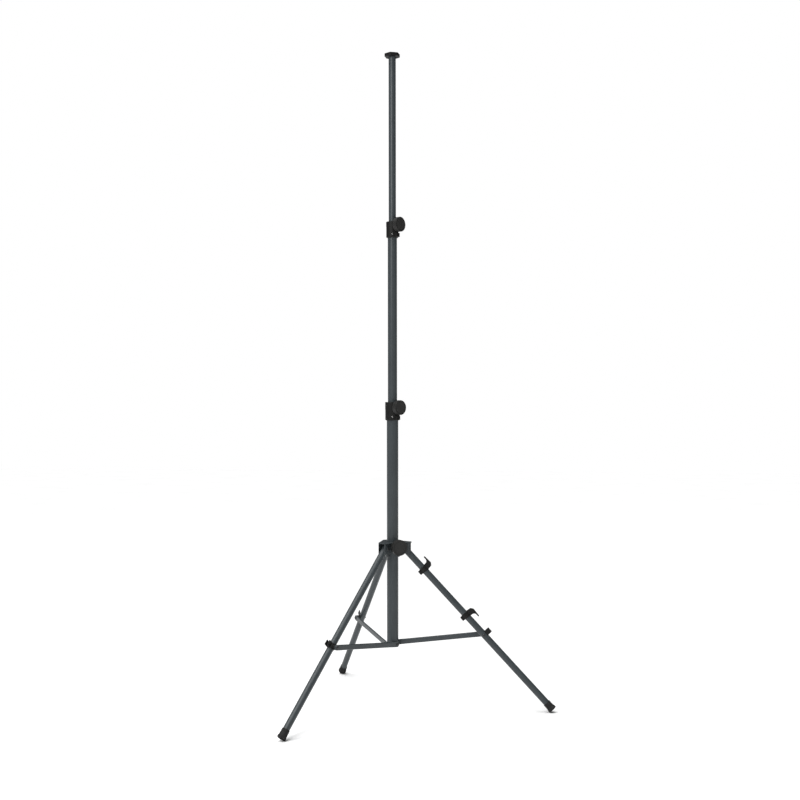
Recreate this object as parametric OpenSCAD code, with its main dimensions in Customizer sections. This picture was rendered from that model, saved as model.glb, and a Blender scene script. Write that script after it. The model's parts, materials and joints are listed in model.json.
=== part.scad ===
/* [Mast] */
// Outer diameter of the base tube
base_d = 35; // [34:0.5:36]
// Outer diameter of the middle tube
middle_d = 28; // [27:0.5:28]
// Outer diameter of the top tube
top_d = 22; // [21:0.5:22]
// Wall thickness of the mast tubes
mast_wall = 1.5; // [1.2:0.1:1.6]
// Height of the lower end of the mast above the floor
mast_bottom_z = 185; // [180:1:190]
// Height of the top end of the base tube
base_top_z = 895; // [880:1:900]
// Height of the lower end of the middle tube
middle_bottom_z = 790; // [770:1:810]
// Height of the top end of the middle tube
middle_top_z = 1454; // [1440:1:1460]
// Height of the lower end of the top tube
top_bottom_z = 1360; // [1340:1:1370]
// Height of the whole stand
total_h = 2000; // [1990:1:2050]

/* [Legs and struts] */
// Outer diameter of a leg tube
leg_d = 20; // [19:0.5:20]
// Wall thickness of a leg tube
leg_wall = 1.5; // [1.2:0.1:2]
// Length of a leg from its pivot to the end of its foot
leg_len = 655; // [640:1:670]
// Angle of an open leg from the vertical
leg_angle = 43.27; // [42:0.01:45]
// Distance of the leg pivots from the mast axis
pivot_r = 37; // [36:0.5:38]
// Distance along the leg from its pivot to the strut clamp
clamp_s = 355; // [345:1:365]
// Height of the struts' inner pivots
strut_z = 193.5; // [192.5:0.5:194]
// Distance of the struts' inner pivots beside the mast axis
strut_r = 5; // [4:0.5:5]
// Height of a strut's section
strut_h = 16; // [14:0.5:17]
// Thickness of a strut's section
strut_t = 5; // [4.5:0.5:5]

/* [Fittings] */
// Height of the lower clamp collar
lower_collar_h = 56; // [54:1:58]
// Height of the upper clamp collar
upper_collar_h = 49; // [48:1:52]
// Radius of the knobs on the two collars
collar_knob_r = 22.5; // [20:0.5:23]
// Radius of the knob on the hub
hub_knob_r = 24; // [22:0.5:24]
// Radius of the head cap
cap_r = 24; // [22:0.5:25]
// Distance along the right leg from its pivot to the upper cable hook
hook_upper_s = 87; // [80:1:95]
// Distance along the right leg from its pivot to the lower cable hook
hook_lower_s = 275; // [265:1:285]

/* [Hidden] */
$fn = 96;

// Directions about the mast, in degrees from +X
leg_az = [0, 120, 240];
right = 0;
back = 1;
front = 2;
lower_knob_az = -39;
upper_knob_az = -32;
hub_knob_az = -58;
collar_screw_az = [-81, 9];

// Radii of the tubes
base_r = base_d / 2;
base_in_r = base_r - mast_wall;
middle_r = middle_d / 2;
middle_in_r = middle_r - mast_wall;
top_r = top_d / 2;
top_in_r = top_r - mast_wall;
leg_r = leg_d / 2;
leg_in_r = leg_r - leg_wall;

// Clearances
running = 0.05;
slide_gap = 0.3;
eps = 0.5;

// Bolts and threads
bolt_r = 3;
bolt_bore_r = bolt_r + running;
stud_r = 4;
stud_bore_r = stud_r + running;
head_thread_r = 4.25;
head_thread_depth = 22;

// Leg geometry
foot_end_r = 13;
foot_top_r = 11.4;
foot_len = 27;
foot_base = 4;
pivot_z = leg_len * cos(leg_angle) + foot_end_r * sin(leg_angle);
leg_start = -8;
leg_end_s = leg_len - foot_base;
// The origin is the middle of the whole outline, so the mast stands off it
reach_front = pivot_r + leg_len * sin(leg_angle) + foot_end_r * cos(leg_angle);
half_slope = sin(leg_angle) * cos(leg_az[back]);
reach_back = -(pivot_r + leg_len * sin(leg_angle)) * cos(leg_az[back])
    + foot_end_r * sqrt(1 - half_slope * half_slope);
mast_x = -(reach_front - reach_back) / 2;

// Struts lie beside the mast and beside their legs
strut_w = 18.2;
strut_out_w = strut_w + strut_t;
joint_r = pivot_r + clamp_s * sin(leg_angle);
joint_z = pivot_z - clamp_s * cos(leg_angle);
strut_len = norm([joint_r - strut_r, joint_z - strut_z]);
strut_rise = atan2(joint_z - strut_z, joint_r - strut_r);
ear_w = strut_w - 0.4;
bolt_head_r = 5;
bolt_head_h = 2.6;
bolt_head_gap = 0.3;

// Collars: each row is [bottom, height, fixed tube radius, moving tube radius, knob azimuth]
collar_socket = 18;
collar_wall = 4.6;
shell_step = 0.4;
knob_rise = 39;
screw_rise = 10.5;
lower_set = [base_top_z - collar_socket, lower_collar_h, base_r, middle_r, lower_knob_az];
upper_set = [middle_top_z - collar_socket, upper_collar_h, middle_r, top_r, upper_knob_az];
shell_slope = 30;
shell_mid = 26;

// Clamp screws
shoe_t = 2.2;
shoe_w = 11;
shoe_h = 12;
shoe_gap = 0.05;
clamp_travel = 2.5;
window_w = 12.4;
window_h = 13;
insert_r = 6;
nose_r = 7.5;
collar_knob_t = 14.6;
hub_knob_t = 16;
knob_gap = 0.5;
knob_edge = 1.2;
knob_cap_r = 17.5;
knob_cap_t = 1.6;
knob_cap_proud = 0.4;

// Hub
hub_z = pivot_z;
hub_bottom = hub_z - 26;
hub_top = hub_z + 20;
hub_in_r = 19;
hub_out_r = 22.5;
hub_roof = 3;
hub_arm_w = 27;
hub_wall = 2.8;
hub_arm_end = 58;
hub_arm_corner = 10;
hub_arm_bottom = hub_z - 14.6;
hub_boss_end = 41;
hub_boss_w = 20;
hub_boss_h = 24;
hub_knob_z = hub_z + 6;

// Head
cap_h = 9.5;
cap_bottom = total_h - cap_h;
cap_sides = 6;
cap_turn = -6.5;
insert_out_r = 8;
head_plug_len = 34;

// Places and frames

module on_mast() {
    translate([mast_x, 0, 0]) children();
}

// X points outwards along the leg's direction and Y to its counter-clockwise side
module at_side(side) {
    on_mast() rotate([0, 0, leg_az[side]]) children();
}

// Z runs down the leg from its pivot, -X faces outwards and upwards
module on_leg(side) {
    at_side(side) translate([pivot_r, 0, pivot_z]) rotate([0, 180 - leg_angle, 0]) children();
}

// X runs along the strut from its pivot on the mast
module on_strut(side) {
    at_side(side) translate([strut_r, 0, strut_z]) rotate([0, -strut_rise, 0]) children();
}

// Z points outwards from the mast axis at the given height and azimuth
module radial(az, z) {
    on_mast() translate([0, 0, z]) rotate([0, 0, az]) rotate([0, 90, 0]) children();
}

// A cylinder that lies along Y from one distance to another
module across(from, to, r) {
    translate([0, to, 0]) rotate([90, 0, 0]) cylinder(h = to - from, r = r);
}

module ring(r_out, r_in, from, to) {
    translate([0, 0, from]) difference() {
        cylinder(h = to - from, r = r_out);
        translate([0, 0, -eps]) cylinder(h = to - from + 2 * eps, r = r_in);
    }
}

// Points of an arc, for outlines
function arc(cx, cy, r, a0, a1, n = 8) =
    [for (i = [0 : n]) [cx + r * cos(a0 + (a1 - a0) * i / n), cy + r * sin(a0 + (a1 - a0) * i / n)]];

// A turned disc with rounded front and back edges, from Z = 0 to Z = t
module turned_disc(r, t, front_edge, back_edge) {
    rotate_extrude() polygon(concat(
        [[0, 0]],
        arc(r - back_edge, back_edge, back_edge, -90, 0, 4),
        arc(r - front_edge, t - front_edge, front_edge, 0, 90, 6),
        [[0, t]]
    ));
}

// Mast base

module base_tube() {
    color("dimgray") on_mast() difference() {
        ring(base_r, base_in_r, mast_bottom_z + 2, base_top_z);
        for (side = [right, back, front]) {
            rotate([0, 0, leg_az[side]]) translate([strut_r, 0, strut_z]) across(5, base_d, bolt_r);
        }
        for (az = collar_screw_az) {
            translate([0, 0, lower_set[0] + screw_rise]) rotate([0, 0, az]) rotate([0, 90, 0])
                cylinder(h = base_d, r = 2);
        }
    }
}

module base_plug() {
    color("black") on_mast() difference() {
        union() {
            translate([0, 0, mast_bottom_z]) cylinder(h = 2, r = base_r);
            translate([0, 0, mast_bottom_z + 2]) cylinder(h = 24, r = base_in_r);
        }
        for (side = [right, back, front]) {
            rotate([0, 0, leg_az[side]]) translate([strut_r, 0, strut_z]) across(7, base_d, bolt_r);
        }
    }
}

// A round head with a hexagonal recess, looking along +Y from its seat
module bolt_head(seat, r, h) {
    difference() {
        across(seat, seat + h, r);
        translate([0, seat + h + eps, 0]) rotate([90, 0, 0]) cylinder(h = h / 2 + eps, r = r / 2, $fn = 6);
    }
}

module strut_pivot_bolts() {
    color("black") for (side = [right, back, front]) {
        at_side(side) translate([strut_r, 0, strut_z]) {
            across(7, strut_out_w + bolt_head_gap, bolt_r);
            bolt_head(strut_out_w + bolt_head_gap, bolt_head_r, bolt_head_h);
        }
    }
}

// Collar parts, each from one row of sizes

function collar_sleeve_r(set) = set[2] + collar_wall;
function collar_shell_r(set) = collar_sleeve_r(set) + shell_step;
function knob_z(set) = set[0] + knob_rise;
function shoe_back(set) = set[3] + shoe_gap + shoe_t;
function cavity_end(set) = shoe_back(set) + clamp_travel + 0.3;
function knob_back(set) = collar_shell_r(set) + knob_gap;
function nose_end(set) = knob_back(set) + 2.4;
function stud_end(set) = knob_back(set) + collar_knob_t - 3;

module collar_blank(set) {
    sleeve_r = collar_sleeve_r(set);
    shell_r = collar_shell_r(set);
    h = set[1];
    foot_chamfer = 2;
    top_round = 3;
    translate([0, 0, set[0]]) {
        rotate_extrude() polygon([
            [0, 0], [sleeve_r - foot_chamfer, 0], [sleeve_r, foot_chamfer], [sleeve_r, h - 2], [0, h - 2]
        ]);
        intersection() {
            rotate_extrude() polygon(concat(
                [[0, 0], [shell_r, 0]],
                arc(shell_r - top_round, h - top_round, top_round, 0, 90, 6),
                [[0, h]]
            ));
            rotate([0, 0, set[4]]) translate([0, 0, shell_mid]) rotate([0, shell_slope, 0])
                translate([-h * 2, -h * 2, 0]) cube([h * 4, h * 4, h * 4]);
        }
        // Boss under the knob
        rotate([0, 0, set[4]]) translate([0, -8, 1.5]) cube([shell_r + 4.4, 16, 12.5]);
        // Small bosses round the fixing screws
        for (az = collar_screw_az) {
            rotate([0, 0, az]) translate([0, 0, screw_rise]) rotate([0, 90, 0])
                cylinder(h = shell_r - 0.2, r = 5.6);
        }
    }
    radial_on_axis(set[4], knob_z(set)) cylinder(h = nose_end(set), r = nose_r);
}

// As radial(), but about the mast axis where on_mast() already applies
module radial_on_axis(az, z) {
    translate([0, 0, z]) rotate([0, 0, az]) rotate([0, 90, 0]) children();
}

module collar(set) {
    on_mast() difference() {
        collar_blank(set);
        translate([0, 0, set[0] - eps]) cylinder(h = collar_socket + eps, r = set[2]);
        translate([0, 0, set[0]]) cylinder(h = set[1] + eps, r = set[3] + slide_gap);
        radial_on_axis(set[4], knob_z(set)) {
            translate([-window_h / 2, -window_w / 2, 0]) cube([window_h, window_w, cavity_end(set)]);
            cylinder(h = nose_end(set) + eps, r = insert_r);
        }
        for (az = collar_screw_az) {
            radial_on_axis(az, set[0] + screw_rise) {
                cylinder(h = collar_shell_r(set) + 2, r = 2);
                translate([0, 0, set[2] + 2.2]) cylinder(h = 10, r = 3.5);
            }
        }
    }
}

module collar_screws(set) {
    head_seat = set[2] + 2.2;
    for (az = collar_screw_az) {
        radial(az, set[0] + screw_rise) {
            translate([0, 0, set[2] - mast_wall]) cylinder(h = head_seat - set[2] + mast_wall, r = 2);
            translate([0, 0, head_seat]) difference() {
                cylinder(h = 2.2, r = 3);
                translate([-0.5, -4, 1.3]) cube([1, 8, 2]);
                translate([-4, -0.5, 1.3]) cube([8, 1, 2]);
            }
        }
    }
}

module clamp_insert(az, z, from, to) {
    radial(az, z) ring(insert_r, stud_bore_r, from, to);
}

module clamp_shoe(az, z, tube_r) {
    radial(az, z) difference() {
        translate([-shoe_h / 2, -shoe_w / 2, 0]) cube([shoe_h, shoe_w, tube_r + shoe_gap + shoe_t]);
        translate([-shoe_h, 0, 0]) rotate([0, 90, 0]) cylinder(h = 2 * shoe_h, r = tube_r + shoe_gap);
    }
}

module clamp_stud(az, z, from, to) {
    radial(az, z) translate([0, 0, from]) cylinder(h = to - from, r = stud_r);
}

module clamp_knob(az, z, from, t, r, hollow) {
    radial(az, z) translate([0, 0, from]) difference() {
        turned_disc(r, t, knob_edge, knob_edge);
        translate([0, 0, -eps]) cylinder(h = hollow + eps, r = nose_r + 1);
        translate([0, 0, -eps]) cylinder(h = t - 3 + eps, r = stud_r);
        translate([0, 0, t - knob_cap_t + knob_cap_proud]) cylinder(h = t, r = knob_cap_r);
    }
}

module clamp_knob_cap(az, z, from, t) {
    radial(az, z) translate([0, 0, from + t - knob_cap_t + knob_cap_proud])
        turned_disc(knob_cap_r, knob_cap_t, 0.8, 0.2);
}

module lower_collar() {
    color("#2d2d2c") collar(lower_set);
}

module lower_collar_screws() {
    color("silver") collar_screws(lower_set);
}

module lower_collar_insert() {
    color("goldenrod") clamp_insert(
        lower_knob_az, knob_z(lower_set), cavity_end(lower_set), nose_end(lower_set)
    );
}

module lower_guide_bush() {
    color("gray") on_mast() ring(base_in_r, middle_r + running, base_top_z - 69, base_top_z);
}

// Middle section

module middle_tube() {
    color("dimgray") on_mast() difference() {
        ring(middle_r, middle_in_r, middle_bottom_z, middle_top_z);
        for (az = collar_screw_az) {
            radial_on_axis(az, upper_set[0] + screw_rise) cylinder(h = middle_d, r = 2);
        }
    }
}

module middle_foot_bush() {
    color("gray") on_mast() union() {
        ring(base_in_r - running, middle_r, middle_bottom_z, middle_bottom_z + 34);
        ring(base_in_r - running, middle_in_r - 1, middle_bottom_z - 3, middle_bottom_z);
    }
}

module upper_collar() {
    color("#2d2d2c") collar(upper_set);
}

module upper_collar_screws() {
    color("silver") collar_screws(upper_set);
}

module upper_collar_insert() {
    color("goldenrod") clamp_insert(
        upper_knob_az, knob_z(upper_set), cavity_end(upper_set), nose_end(upper_set)
    );
}

module upper_guide_bush() {
    color("gray") on_mast() ring(middle_in_r, top_r + running, middle_top_z - 62, middle_top_z);
}

// Top section

module top_tube() {
    color("dimgray") on_mast() ring(top_r, top_in_r, top_bottom_z, cap_bottom);
}

module top_foot_bush() {
    color("gray") on_mast() union() {
        ring(middle_in_r - running, top_r, top_bottom_z, top_bottom_z + 30);
        ring(middle_in_r - running, top_in_r - 1, top_bottom_z - 3, top_bottom_z);
    }
}

module head_plug() {
    color("silver") on_mast() ring(top_in_r, insert_out_r, cap_bottom - head_plug_len, cap_bottom);
}

module head_insert() {
    color("goldenrod") on_mast() difference() {
        translate([0, 0, total_h - head_plug_len]) cylinder(h = head_plug_len, r = insert_out_r);
        translate([0, 0, total_h - head_thread_depth])
            cylinder(h = head_thread_depth + eps, r = head_thread_r);
    }
}

// A six-sided plate with rounded corners, lying flat
module rounded_plate(r, corner, t) {
    mid = r - corner;
    turn = 360 / cap_sides;
    linear_extrude(height = t) rotate(cap_turn) polygon([
        for (side = [0 : cap_sides - 1])
            each arc(
                mid * cos((side + 0.5) * turn), mid * sin((side + 0.5) * turn), corner,
                side * turn, (side + 1) * turn, 5
            )
    ]);
}

module head_cap() {
    color("#2d2d2c") on_mast() translate([0, 0, cap_bottom]) difference() {
        union() {
            rounded_plate(cap_r - 1.2, 3, 1.2);
            translate([0, 0, 1.2]) rounded_plate(cap_r, 4, cap_h - 2.2);
            translate([0, 0, cap_h - 1]) rounded_plate(cap_r - 1, 3, 1);
        }
        translate([0, 0, -eps]) cylinder(h = cap_h + 2 * eps, r = insert_out_r);
    }
}

// Hub

// Plan of one arm, with its outer corners rounded
module arm_plan() {
    corner_w = hub_arm_w / 2 - hub_arm_corner;
    hull() {
        translate([0, -hub_arm_w / 2]) square([hub_in_r, hub_arm_w]);
        for (w = [-corner_w, corner_w]) {
            translate([hub_arm_end - hub_arm_corner, w]) circle(r = hub_arm_corner);
        }
    }
}

module hub_blank() {
    cheek_gap = hub_arm_w - 2 * hub_wall;
    ring(hub_out_r, hub_in_r, hub_bottom, hub_top);
    translate([0, 0, hub_top - hub_roof]) linear_extrude(height = hub_roof) hull() {
        for (side = [right, back, front]) {
            rotate(leg_az[side]) arm_plan();
        }
    }
    for (side = [right, back, front]) {
        rotate([0, 0, leg_az[side]]) translate([0, 0, hub_arm_bottom])
            linear_extrude(height = hub_top - hub_arm_bottom) difference() {
                arm_plan();
                translate([0, -cheek_gap / 2]) square([hub_arm_end + eps, cheek_gap]);
            }
    }
    rotate([0, 0, hub_knob_az]) translate([0, -hub_boss_w / 2, hub_knob_z - hub_boss_h / 2])
        cube([hub_boss_end, hub_boss_w, hub_boss_h]);
}

module hub_body() {
    color("dimgray") on_mast() difference() {
        hub_blank();
        translate([0, 0, hub_bottom - eps]) cylinder(h = hub_top - hub_bottom + 2 * eps, r = hub_in_r);
        for (side = [right, back, front]) {
            rotate([0, 0, leg_az[side]]) translate([pivot_r, 0, pivot_z])
                across(-hub_arm_w, hub_arm_w, bolt_r);
        }
        radial_on_axis(hub_knob_az, hub_knob_z) {
            translate([-window_h / 2, -window_w / 2, 0])
                cube([window_h, window_w, base_r + shoe_gap + shoe_t + clamp_travel + 0.3]);
            cylinder(h = hub_boss_end + eps, r = insert_r);
        }
    }
}

module hub_bush() {
    color("gray") on_mast() difference() {
        ring(hub_in_r, base_r + running, hub_bottom + 1, hub_top - 1);
        radial_on_axis(hub_knob_az, hub_knob_z) translate([-window_h / 2, -window_w / 2, 0])
            cube([window_h, window_w, base_d]);
    }
}

module hub_insert() {
    color("goldenrod") clamp_insert(
        hub_knob_az, hub_knob_z, base_r + shoe_gap + shoe_t + clamp_travel + 0.3, hub_boss_end
    );
}

module leg_pivot_bolts() {
    color("dimgray") for (side = [right, back, front]) {
        at_side(side) translate([pivot_r, 0, pivot_z]) {
            across(-hub_arm_w / 2 - 2, hub_arm_w / 2, bolt_r);
            bolt_head(hub_arm_w / 2, bolt_head_r, 2);
        }
    }
}

module leg_pivot_nuts() {
    color("dimgray") for (side = [right, back, front]) {
        at_side(side) translate([pivot_r, 0, pivot_z]) difference() {
            translate([0, -hub_arm_w / 2, 0]) rotate([90, 0, 0]) cylinder(h = 2.4, r = 5, $fn = 6);
            across(-hub_arm_w, hub_arm_w, bolt_r);
        }
    }
}

// Legs

module leg_tube(side) {
    color("dimgray") on_leg(side) difference() {
        ring(leg_r, leg_in_r, leg_start, leg_end_s);
        across(-leg_d, leg_d, bolt_r + 0.4);
        translate([0, 0, clamp_s]) across(-leg_d, leg_d, bolt_r);
    }
}

module leg_end(side) {
    color("black") on_leg(side) difference() {
        translate([0, 0, leg_start]) cylinder(h = 34, r = leg_in_r);
        across(-leg_d, leg_d, bolt_bore_r);
    }
}

module foot(side) {
    color("#232323") on_leg(side) difference() {
        rotate_extrude() polygon([
            [0, leg_len - foot_len],
            [foot_top_r - 0.6, leg_len - foot_len],
            [foot_top_r, leg_len - foot_len + 0.8],
            [foot_top_r + 0.5, leg_len - 9],
            [foot_end_r, leg_len - 6],
            [foot_end_r, leg_len],
            [0, leg_len]
        ]);
        translate([0, 0, leg_len - foot_len - eps]) cylinder(h = foot_len - foot_base + eps, r = leg_r);
    }
}

// Saddle on the leg's outer and counter-clockwise sides, with the strut's ear and a cable clip
module strut_clamp(side) {
    saddle_len = 16;
    saddle_r = leg_r + 2.2;
    clip_gap = 8.6;
    clip_wall = 2.2;
    clip_end = leg_r + 14;
    lip = 1.2;
    color("#2d2d2c") on_leg(side) translate([0, 0, clamp_s]) difference() {
        union() {
            intersection() {
                translate([0, 0, -saddle_len / 2]) cylinder(h = saddle_len, r = saddle_r);
                translate([-leg_d, -6, -saddle_len]) cube([leg_d + 5, leg_d + 6, 2 * saddle_len]);
            }
            across(0, ear_w, 7.5);
            translate([-clip_end, -clip_gap / 2 - clip_wall, -saddle_len / 2])
                linear_extrude(height = saddle_len)
                polygon([
                    [0, 0], [clip_end - leg_r / 2, 0], [clip_end - leg_r / 2, clip_gap + 2 * clip_wall],
                    [0, clip_gap + 2 * clip_wall], [0, clip_gap + clip_wall - lip],
                    [2, clip_gap + clip_wall], [11, clip_gap + clip_wall], [11, clip_wall],
                    [2, clip_wall], [0, clip_wall + lip]
                ]);
        }
        translate([0, 0, -saddle_len]) cylinder(h = 2 * saddle_len, r = leg_r);
        across(-leg_d, leg_d, bolt_r);
    }
}

// Threaded bush that ends flush in the ear, with its head on the leg's clockwise side
module clamp_nut(side) {
    color("black") on_leg(side) translate([0, 0, clamp_s]) {
        across(-leg_r - 0.2, ear_w, bolt_r);
        across(-leg_r - 2, -leg_r - 0.2, 4.2);
    }
}

// Cable hook round the right leg; dir is -1 for a mouth towards the hub and 1 for one towards the foot
module cable_hook(s, dir) {
    ring_len = 16;
    ring_r = leg_r + 2;
    hook_w = 12;
    tab_end = leg_r + 8;
    // Outline along the leg (away from the mouth) and outwards from its axis
    outline = concat(
        [[9.4, leg_r], [8.4, 13], [7.4, 21.6]],
        arc(2.7, 21.2, 4.8, 10, 50, 4),
        arc(-1.8, 26.7, 3, 50, 90, 3),
        arc(-26.6, 26.8, 1.4, 90, 250, 5),
        [[-19.5, 25.7]],
        arc(-19.5, 16.4, 9.2, 80, 0, 8),
        [[-9.8, leg_r]]
    );
    color("#2d2d2c") on_leg(right) translate([0, 0, s]) difference() {
        union() {
            translate([0, 0, -ring_len / 2]) cylinder(h = ring_len, r = ring_r);
            rotate([90, 0, 0]) translate([0, 0, -hook_w / 2]) linear_extrude(height = hook_w)
                polygon([for (p = outline) [-p[1], -dir * p[0]]]);
            translate([0, -hook_w / 2, -ring_len / 2 + 1]) cube([tab_end, hook_w, ring_len - 2]);
        }
        translate([0, 0, -ring_len * 2]) cylinder(h = ring_len * 4, r = leg_r);
    }
}

module cable_hook_upper() {
    cable_hook(hook_upper_s, -1);
}

module cable_hook_lower() {
    cable_hook(hook_lower_s, 1);
}

// Struts

// Flattened tube section, lying along X
module strut_section(h, t, from, to) {
    translate([from, 0, 0]) rotate([90, 0, 90]) linear_extrude(height = to - from) union() {
        square([t, h - t], center = true);
        for (side = [-1, 1]) {
            translate([0, side * (h - t) / 2]) circle(d = t);
        }
    }
}

module strut(side) {
    end_r = strut_h / 2;
    strut_wall = 1.2;
    flat = 22;
    color("dimgray") on_strut(side) translate([0, strut_w + strut_t / 2, 0]) difference() {
        intersection() {
            strut_section(strut_h, strut_t, -end_r, strut_len + end_r);
            union() {
                translate([0, -strut_t, -strut_h]) cube([strut_len, 2 * strut_t, 2 * strut_h]);
                across(-strut_t, strut_t, end_r);
                translate([strut_len, 0, 0]) across(-strut_t, strut_t, end_r);
            }
        }
        strut_section(strut_h - 2 * strut_wall, strut_t - 2 * strut_wall, flat, strut_len - flat);
        across(-strut_t, strut_t, bolt_bore_r);
        translate([strut_len, 0, 0]) across(-strut_t, strut_t, bolt_r);
    }
}

module strut_bolt(side) {
    color("black") on_strut(side) translate([strut_len, 0, 0]) {
        across(strut_w, strut_out_w, bolt_r);
        bolt_head(strut_out_w, bolt_head_r, bolt_head_h);
    }
}

// Clamp screws

module lower_shoe() {
    color("gray") clamp_shoe(lower_knob_az, knob_z(lower_set), middle_r);
}

module lower_stud() {
    color("silver") clamp_stud(
        lower_knob_az, knob_z(lower_set), shoe_back(lower_set) + shoe_gap, stud_end(lower_set)
    );
}

module lower_knob() {
    color("#2d2d2c") clamp_knob(
        lower_knob_az, knob_z(lower_set), knob_back(lower_set), collar_knob_t, collar_knob_r, 3.2
    );
}

module lower_knob_cap() {
    color("#333333") clamp_knob_cap(lower_knob_az, knob_z(lower_set), knob_back(lower_set), collar_knob_t);
}

module upper_shoe() {
    color("gray") clamp_shoe(upper_knob_az, knob_z(upper_set), top_r);
}

module upper_stud() {
    color("silver") clamp_stud(
        upper_knob_az, knob_z(upper_set), shoe_back(upper_set) + shoe_gap, stud_end(upper_set)
    );
}

module upper_knob() {
    color("#2d2d2c") clamp_knob(
        upper_knob_az, knob_z(upper_set), knob_back(upper_set), collar_knob_t, collar_knob_r, 3.2
    );
}

module upper_knob_cap() {
    color("#333333") clamp_knob_cap(upper_knob_az, knob_z(upper_set), knob_back(upper_set), collar_knob_t);
}

module hub_shoe() {
    color("gray") clamp_shoe(hub_knob_az, hub_knob_z, base_r);
}

module hub_stud() {
    color("silver") clamp_stud(
        hub_knob_az, hub_knob_z, base_r + 2 * shoe_gap + shoe_t, hub_boss_end + knob_gap + hub_knob_t - 3
    );
}

module hub_knob() {
    color("#2d2d2c") clamp_knob(
        hub_knob_az, hub_knob_z, hub_boss_end + knob_gap, hub_knob_t, hub_knob_r, 0
    );
}

module hub_knob_cap() {
    color("#333333") clamp_knob_cap(hub_knob_az, hub_knob_z, hub_boss_end + knob_gap, hub_knob_t);
}

base_tube();
base_plug();
strut_pivot_bolts();
lower_collar();
lower_collar_screws();
lower_collar_insert();
lower_guide_bush();
middle_tube();
middle_foot_bush();
upper_collar();
upper_collar_screws();
upper_collar_insert();
upper_guide_bush();
top_tube();
top_foot_bush();
head_plug();
head_insert();
head_cap();
hub_body();
hub_bush();
hub_insert();
leg_pivot_bolts();
leg_pivot_nuts();
leg_tube(right);  // leg_tube_right
leg_end(right);  // leg_end_right
foot(right);  // foot_right
strut_clamp(right);  // strut_clamp_right
clamp_nut(right);  // clamp_nut_right
leg_tube(back);  // leg_tube_back
leg_end(back);  // leg_end_back
foot(back);  // foot_back
strut_clamp(back);  // strut_clamp_back
clamp_nut(back);  // clamp_nut_back
leg_tube(front);  // leg_tube_front
leg_end(front);  // leg_end_front
foot(front);  // foot_front
strut_clamp(front);  // strut_clamp_front
clamp_nut(front);  // clamp_nut_front
cable_hook_upper();
cable_hook_lower();
strut(right);  // strut_right
strut(back);  // strut_back
strut(front);  // strut_front
strut_bolt(right);  // strut_bolt_right
strut_bolt(back);  // strut_bolt_back
strut_bolt(front);  // strut_bolt_front
lower_shoe();
lower_stud();
lower_knob();
lower_knob_cap();
upper_shoe();
upper_stud();
upper_knob();
upper_knob_cap();
hub_shoe();
hub_stud();
hub_knob();
hub_knob_cap();
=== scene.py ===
"""Looks of the telescopic tripod stand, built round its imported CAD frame."""

import json
import math

import bmesh
import bpy
from mathutils import Matrix, Vector


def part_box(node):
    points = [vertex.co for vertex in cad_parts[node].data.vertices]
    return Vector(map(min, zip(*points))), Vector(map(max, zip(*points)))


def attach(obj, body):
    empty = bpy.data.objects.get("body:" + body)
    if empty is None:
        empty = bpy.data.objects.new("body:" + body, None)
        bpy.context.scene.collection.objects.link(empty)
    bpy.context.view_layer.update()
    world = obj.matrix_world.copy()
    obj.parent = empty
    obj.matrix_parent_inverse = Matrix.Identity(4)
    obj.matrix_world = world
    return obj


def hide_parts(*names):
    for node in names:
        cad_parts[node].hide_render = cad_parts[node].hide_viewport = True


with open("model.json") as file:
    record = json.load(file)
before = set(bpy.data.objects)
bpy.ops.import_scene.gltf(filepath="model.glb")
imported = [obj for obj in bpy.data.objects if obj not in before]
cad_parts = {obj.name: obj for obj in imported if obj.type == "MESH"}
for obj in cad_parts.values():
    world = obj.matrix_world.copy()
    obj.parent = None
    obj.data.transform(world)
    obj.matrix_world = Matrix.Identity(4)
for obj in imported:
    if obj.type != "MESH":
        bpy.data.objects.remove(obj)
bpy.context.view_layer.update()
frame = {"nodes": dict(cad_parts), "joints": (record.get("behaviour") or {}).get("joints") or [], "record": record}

MM = 0.001
SIDES = ("right", "back", "front")
RINGS = 72
SMOOTH_ANGLE = math.radians(32)

# ---------------------------------------------------------------------------
# Places, worked out from the frame
# ---------------------------------------------------------------------------

JOINTS = {joint["name"]: joint for joint in frame["joints"]}


def size_of(node):
    """The low corner, the high corner and the size of a node's box, in metres."""
    low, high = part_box(node)
    return low, high, high - low


BASE_LOW, BASE_HIGH, BASE_SIZE = size_of("base_tube")
MAST = Vector(((BASE_LOW.x + BASE_HIGH.x) / 2, (BASE_LOW.y + BASE_HIGH.y) / 2, 0))
BASE_R = BASE_SIZE.x / 2 / MM
MIDDLE_R = size_of("middle_tube")[2].x / 2 / MM
TOP_R = size_of("top_tube")[2].x / 2 / MM
TOTAL_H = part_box("head_cap")[1].z / MM
LEG_ANGLE = math.radians(JOINTS["leg_right_fold"]["range_deg"][1])


def axes_matrix(x_axis, y_axis, z_axis, origin):
    """A frame in metres at origin whose local units are millimetres."""
    rows = Matrix((x_axis, y_axis, z_axis)).transposed().to_4x4()
    return Matrix.Translation(origin) @ rows @ Matrix.Scale(MM, 4)


def side_axes(joint):
    """The outward and the sideways direction of a leg or strut, from its hinge."""
    sideways = Vector(joint["axis"]).normalized()
    return sideways.cross(Vector((0, 0, 1))), sideways


def leg_frame(side):
    """Z runs down the leg from its pivot, Y sideways, and -X faces outwards and upwards."""
    joint = JOINTS[f"leg_{side}_fold"]
    outward, sideways = side_axes(joint)
    down = outward * math.sin(LEG_ANGLE) - Vector((0, 0, math.cos(LEG_ANGLE)))
    return axes_matrix(sideways.cross(down), sideways, down, Vector(joint["pos_m"]))


def strut_frame(side):
    """X runs along the strut from its pivot, Y sideways from the strut's middle plane."""
    joint = JOINTS[f"strut_{side}_swing"]
    _, sideways = side_axes(joint)
    start = Vector(joint["pos_m"])
    low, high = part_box(f"strut_bolt_{side}")
    along = (low + high) / 2 - start
    along -= sideways * along.dot(sideways)
    along.normalize()
    return axes_matrix(along, sideways, along.cross(sideways), start)


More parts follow.
